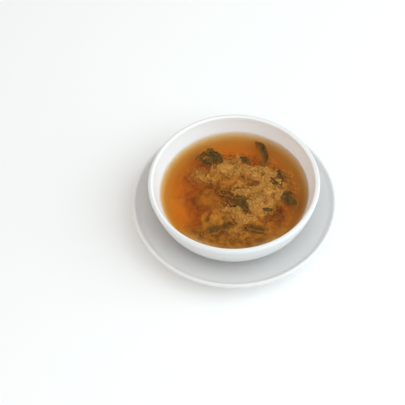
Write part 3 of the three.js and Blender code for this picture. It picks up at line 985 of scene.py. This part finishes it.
draw = np.random.default_rng(GRAIN_SEED)
grain_x, grain_y = np.meshgrid(
    np.arange(CLOUD_FROM[0], CLOUD_TO[0], GRAIN_PITCH),
    np.arange(CLOUD_FROM[1], CLOUD_TO[1], GRAIN_PITCH),
)
grain_x = (grain_x + GRAIN_PITCH * draw.random(grain_x.shape)).ravel()
grain_y = (grain_y + GRAIN_PITCH * draw.random(grain_y.shape)).ravel()
grain_z = cloud_heights(grain_x, grain_y)[0]
kept = grain_z > GRAIN_DEEPEST
kept &= grain_z > porcelain_under(grain_x, grain_y) + GRAIN_OVER_PORCELAIN
kept &= drift(grain_x, grain_y, *GRAIN_CROWDS) + GRAIN_CHANCE * draw.random(grain_x.shape) > GRAIN_BAR
grain_x, grain_y, grain_z = grain_x[kept], grain_y[kept], grain_z[kept]
grain_across = GRAIN_ACROSS[0] + (GRAIN_ACROSS[1] - GRAIN_ACROSS[0]) * draw.random(grain_x.size) ** 2
alone = np.array(FLOATING)
strew(
    "miso_grains",
    np.vstack([
        np.stack([grain_x, grain_y, LEVEL + grain_z - GRAIN_SINKS * grain_across], axis=1),
        np.stack([alone[:, 0], alone[:, 1], LEVEL + alone[:, 3]], axis=1),
    ]),
    np.concatenate([grain_across, alone[:, 2]]),
    np.concatenate([
        GRAIN_STAND[0] + GRAIN_STAND[1] * draw.random(grain_x.size),
        np.full(len(alone), FLOATING_STAND),
    ]),
    GRAIN_TURN_SEED,
)

for name, (least, most, spread, tried, limit, seed) in LOOSE.items():
    draw = np.random.default_rng(seed)
    x = draw.uniform(CLOUD_FROM[0], CLOUD_TO[0], tried)
    y = draw.uniform(CLOUD_FROM[1], CLOUD_TO[1], tried)
    out, top = out_of(CLOUD_SHOALS + LOOSE_SHOALS, x, y)
    buried = cloud_heights(x, y)[0] > BURIED_OVER
    thick = np.clip((LOOSE_END - out) / LOOSE_THIN_OVER, 0, 1) ** LOOSE_THIN_POWER
    thick = thick * (LOOSE_DENSE[0] + LOOSE_DENSE[1] * drift(x, y, LOOSE_DRIFTS, seed))
    thick = thick * (1 - SETTLED_SHARE * smooth(*SETTLED_OVER_Y, y))
    kept = (draw.random(tried) < thick) & ~buried & (np.hypot(x, y) < LOOSE_WITHIN)
    kept &= np.cumsum(kept) <= limit
    x, y, top, out = x[kept], y[kept], top[kept], out[kept]
    sunk = 0.5 * most + SINKS_BY * np.clip(out - SINKS_FROM, 0, 1) + spread * draw.random(x.size)
    strew(
        name,
        np.stack([x, y, LEVEL + top - sunk], axis=1),
        least + (most - least) * draw.random(x.size) ** 2,
        LOOSE_STAND[0] + LOOSE_STAND[1] * draw.random(x.size),
        seed,
    )


# ---- Wakame ----
# Softened seaweed in ragged, frilled scraps as thin as paper, dark olive and wet. Seven lie at
# the surface among the paste, and four more have sunk under it.

LEAF_THICKNESS = 0.4
LEAF_ALONG = 72
LEAF_ACROSS = 30
# For each scrap its folds, each a blade: x, y, length, width, turn, bend, then the wave and
# frill in its height, the notches in its margin, its tilt across and along, and its height over
# the level.
LEAVES = {
    "wakame_back_left": [
        (-18.5, 30.5, 22, 15, -14, 1.5, 0.5, 0.8, 0.4, 0.03, 0.12, -1.2),
        (-17.0, 35.0, 14, 6, -12, 1.2, 0.5, 0.9, 0.5, 0.05, 0, 0.0),
        (-12.0, 31.0, 11, 6, -75, 0.8, 0.5, 0.9, 0.5, 0.05, 0, 0.1),
        (-18.5, 27.5, 11, 6, 20, -1.0, 0.4, 0.9, 0.5, 0.05, 0, -0.1),
    ],
    "wakame_back_right": [(21.8, 35.8, 25, 6.8, -76, 2.6, 0.3, 0.4, 0.1, 0.65, 0, -2.5)],
    "wakame_back_small": [(9, 28.5, 9.5, 5.5, -38, 0.8, 0.3, 0.4, 0.3, 0.2, 0, -0.9)],
    "wakame_mid_right": [(30, 7.6, 8.5, 5, -48, -0.8, 0.3, 0.4, 0.25, 0.1, 0, 0.0)],
    "wakame_right": [(41.6, -8.6, 14, 10, -62, -1.6, 0.5, 0.7, 0.25, 0.05, 0, -0.1)],
    "wakame_centre": [(3.8, -13, 17, 8.5, -32, 1.8, 0.5, 0.7, 0.3, 0.32, 0.12, -1.0)],
    "wakame_front_bit": [(24.6, -18.2, 8, 3.8, -12, -0.6, 0.3, 0.4, 0.3, 0, 0, 0.0)],
}
SUNK_LEAVES = {
    "wakame_sunk_left": [(-9.5, -33.0, 22, 12, 14, 1.5, 0.6, 0.8, 0.4, 0, 0, -3.0)],
    "wakame_sunk_front": [(15.0, -33.0, 16, 8, -16, -1.2, 0.6, 0.8, 0.4, 0, 0, -3.0)],
    "wakame_sunk_middle": [(0.0, -3.5, 26, 9, -22, 1.0, 0.6, 0.8, 0.3, 0, 0.05, -3.3)],
    "wakame_sunk_right": [(35.2, 12.0, 16, 4.5, -86, 0.6, 0.4, 0.5, 0.3, 0, 0, -1.5)],
}

LEAF_DARK = (0.062, 0.031, 0.003, 1)
LEAF_OLIVE = (0.155, 0.075, 0.008, 1)
LEAF_BROWN = (0.225, 0.094, 0.009, 1)
LEAF_SILTED = (0.350, 0.165, 0.028, 1)
# The depth at which paste starts to hide a leaf, and the depths at which it hides a floating and
# a sunk one. Their margins it hides sooner: how far out on the blade, and at which depths.
SILTED_FROM = 0.4
SILTED_AT = {"surface": 5.0, "sunk": 12.0}
SILTED_MARGIN = (0.2, 1.0)
MARGIN_SILTS_AT = (0.8, 2.6)
# Blotches and creases, as patterns to the metre, and the margin's browner band.
BLOTCH_SCALE = 260.0
BLOTCH_RANGE = (0.32, 0.68)
BROWN_MARGIN = (0.7, 1.0)
BROWN_SHARE = 0.6
CREASE_SCALE = 1400.0
CREASE_STRENGTH = 0.6
CREASE_DEPTH = 0.12
LEAF_ROUGH = (0.25, 0.5)
LEAF_IOR = 1.12
FILM_SHINE = 0.4
FILM_ROUGH = 0.15
FILM_IOR = 1.33

seaweed, tree = new_material("wakame")
place = put(tree, "ShaderNodeTexCoord").outputs["Object"]
blotch = noise(tree, place, BLOTCH_SCALE, detail=3.0)
fine = noise(tree, place, CREASE_SCALE, detail=3.0)
rim = put(tree, "ShaderNodeAttribute", attribute_name="margin").outputs["Fac"]
tone = put(tree, "ShaderNodeValToRGB", {0: blotch})
for stop, position, shade in zip(tone.color_ramp.elements, BLOTCH_RANGE, (LEAF_DARK, LEAF_OLIVE)):
    stop.position = position
    stop.color = shade
edged = ranged(tree, rim, *BROWN_MARGIN, 0.0, BROWN_SHARE)
colour = mixed(tree, edged, tone.outputs[0], LEAF_BROWN)
# Paste settles on what lies deeper, and only what stands out of the broth shines.
settled = put(tree, "ShaderNodeAttribute", attribute_name="silt").outputs["Fac"]
colour = mixed(tree, settled, colour, LEAF_SILTED)
height = put(tree, "ShaderNodeSeparateXYZ", {0: place}).outputs["Z"]
wet = ranged(tree, fine, 0.0, 1.0, *LEAF_ROUGH)
shader = put(
    tree, "ShaderNodeBsdfPrincipled",
    {"Base Color": colour, "Roughness": wet, "IOR": LEAF_IOR,
     "Coat Weight": out_of_broth(tree, height, FILM_SHINE), "Coat Roughness": FILM_ROUGH,
     "Coat IOR": FILM_IOR, "Normal": bumped(tree, fine, CREASE_STRENGTH, CREASE_DEPTH)},
)
put(tree, "ShaderNodeOutputMaterial", {"Surface": shader.outputs[0]})

# How far a blade narrows to its tips, how long it stays broad, and how blunt the tips are.
TIP_NARROWS = 0.96
STAYS_BROAD = 2.4
TIP_BLUNT = 0.6
# The waves of its notches, and its tears: steps along, between its two margins and from blade to
# blade, their size, seed and depth.
NOTCH_WAVES = 5.1
TEAR_STEPS = (6, 3, 5)
TEAR_NOISE = (1.0, 33)
TEAR_DEPTH = 1.6
# Its slow wave along and across, with its shift, and the frills of its margin: for each the
# height, the waves along and across, and the shift. A margin is gathered as it frills.
SLOW_WAVE = (3.4, 2.2, 0.7)
FRILLS = [(0.5, 8.5, 2.4, 1), (0.35, 17, -3, 1.7)]
FRILLED_FROM_MIDDLE = 1.4
GATHERED = 0.4
# Its rumple, coarse and fine: size and seed of each, the coarse one's shift from blade to blade,
# the fine one's share, the mean of both, and the depth.
COARSE_RUMPLE = (2.3, 31)
FINE_RUMPLE = (1.1, 32)
RUMPLE_SHIFT = 3
FINE_SHARE = 0.5
RUMPLE_MEAN = 0.75
RUMPLE_DEPTH = 1.6
TIP_IS_MARGIN = 4


def blade(x, y, length, width, turn, bend, wave, frill, notch, tilt, pitch, height):
    """One fold of a scrap: its points in mm, row by row, and how near each is to the margin."""
    phase = x + y
    u = np.linspace(-1, 1, LEAF_ALONG + 1)[:, None]
    v = np.linspace(-1, 1, LEAF_ACROSS + 1)[None, :]
    ragged = 1 - notch * (0.5 + 0.5 * np.sin(NOTCH_WAVES * u + phase))
    tear_at = TEAR_STEPS[0] * u + TEAR_STEPS[1] * np.sign(v) + TEAR_STEPS[2] * phase
    torn = drift(tear_at, 0 * u + phase, *TEAR_NOISE) - 0.5
    half = width / 2 * (1 - TIP_NARROWS * np.abs(u) ** STAYS_BROAD) ** TIP_BLUNT
    half = half * ragged * (1 + TEAR_DEPTH * notch * torn)
    across = v * half + bend * (1 - u * u) - bend / 2
    along = u * length / 2 + 0 * v
    wave_u, wave_v, shift = SLOW_WAVE
    lift = wave * np.sin(wave_u * u + phase) * np.cos(wave_v * v + shift * phase)
    margin = np.abs(v) ** FRILLED_FROM_MIDDLE
    lift = lift + frill * margin * sum(
        high * np.sin(wave_u * u + wave_v * v + shift * phase)
        for high, wave_u, wave_v, shift in FRILLS
    )
    rumple = drift(along + RUMPLE_SHIFT * phase, across, *COARSE_RUMPLE)
    rumple = rumple + FINE_SHARE * drift(along, across + phase, *FINE_RUMPLE)
    lift = lift + frill * RUMPLE_DEPTH * (rumple - RUMPLE_MEAN) + tilt * across + pitch * along
    across = across - GATHERED * frill * margin * v * np.cos(FRILLS[0][1] * u + phase)
    c, s = math.cos(math.radians(turn)), math.sin(math.radians(turn))
    points = np.stack(
        [x + along * c - across * s, y + along * s + across * c, LEVEL + height + lift], axis=-1
    )
    return points, np.maximum(np.abs(v), u ** TIP_IS_MARGIN)


def frond(name, folds, silted_at):
    """A scrap of seaweed: its folds joined, each given its thickness. Paste hides it at a depth."""
    points, faces, margins = [], [], []
    for sizes in folds:
        grid, margin = blade(*sizes)
        at = len(points) * margin.size + np.arange(margin.size).reshape(margin.shape)
        corners = [at[:-1, :-1], at[1:, :-1], at[1:, 1:], at[:-1, 1:]]
        faces.append(np.stack(corners, axis=-1).reshape(-1, 4))
        points.append(grid.reshape(-1, 3))
        margins.append(margin.ravel())
    points, faces, margins = np.vstack(points), np.vstack(faces), np.concatenate(margins)
    made = mesh_object(name, (points * MM).tolist(), faces.tolist())
    note(made, "margin", margins)
    depth = LEVEL - points[:, 2]
    at_margin = smooth(*SILTED_MARGIN, margins) * smooth(*MARGIN_SILTS_AT, depth)
    note(made, "silt", np.maximum(smooth(SILTED_FROM, silted_at, depth), at_margin))
    made.data.shade_smooth()
    made.data.materials.append(seaweed)
    wall = made.modifiers.new("thickness", "SOLIDIFY")
    wall.thickness = LEAF_THICKNESS * MM
    wall.offset = 0.0
    bpy.context.view_layer.update()
    evaluated = made.evaluated_get(bpy.context.evaluated_depsgraph_get())
    mesh = bpy.data.meshes.new_from_object(evaluated)
    made.modifiers.clear()
    made.data = mesh
    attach(made, "root")
    return made


for name, folds in LEAVES.items():
    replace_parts(frond(name + "_frond", folds, SILTED_AT["surface"]), name)

for name, folds in SUNK_LEAVES.items():
    frond(name, folds, SILTED_AT["sunk"])
